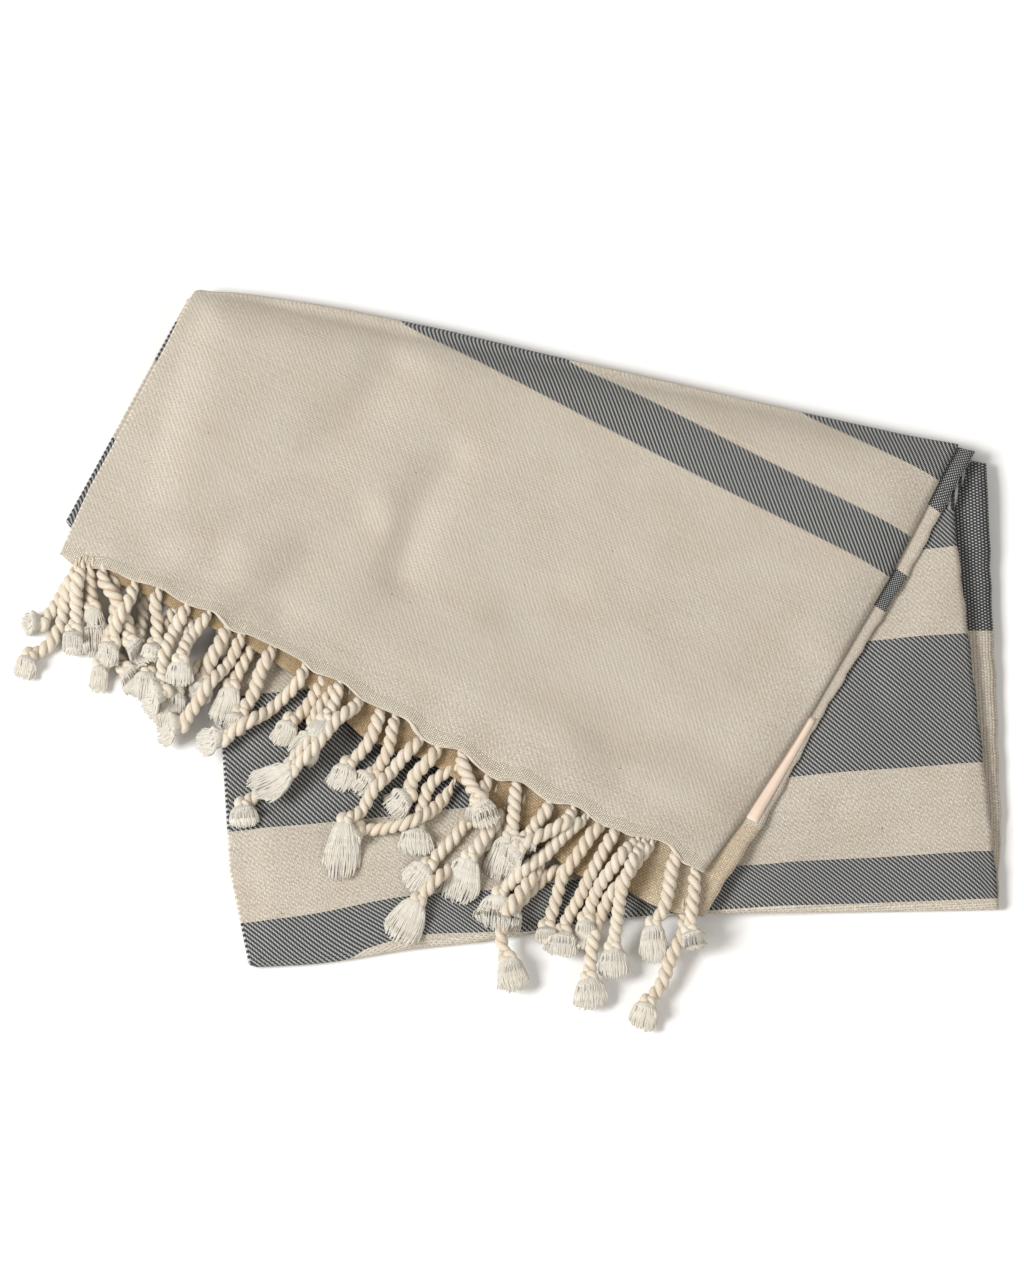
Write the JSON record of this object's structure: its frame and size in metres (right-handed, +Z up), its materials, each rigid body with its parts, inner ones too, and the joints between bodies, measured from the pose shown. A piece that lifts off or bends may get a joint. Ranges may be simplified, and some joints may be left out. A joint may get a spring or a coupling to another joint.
{
  "type": "folded hammam towel",
  "caption": "Cotton hammam towel, folded in half lengthways and then back and forth into a flat stack, with striped bands and twisted, knotted tassels along its slanting top flap.",
  "frame": {"origin": "on the surface that the towel lies on, under the middle of the towel's plan", "axes": "+X to the right along the stack's longer side, +Y away from the viewer towards the top fold, +Z up"},
  "size_m": [0.6671, 0.5218, 0.0333],
  "materials": {
    "towel_cloth": "matt woven cotton, ecru with dark grey weft stripes, twill on the face",
    "fringe_upper": "matt ecru cotton yarn, two-ply twisted and knotted",
    "fringe_lower": "matt ecru cotton yarn, two-ply twisted and knotted",
    "fringe_far_end": "matt ecru cotton yarn, two-ply twisted and knotted",
    "care_label": "smooth pale pink satin ribbon, blank"
  },
  "bodies": {
    "root": {"towel_cloth": "towel_cloth", "fringe_upper": "fringe_upper", "fringe_lower": "fringe_lower", "fringe_far_end": "fringe_far_end", "care_label": "care_label"}
  },
  "joints": []
}
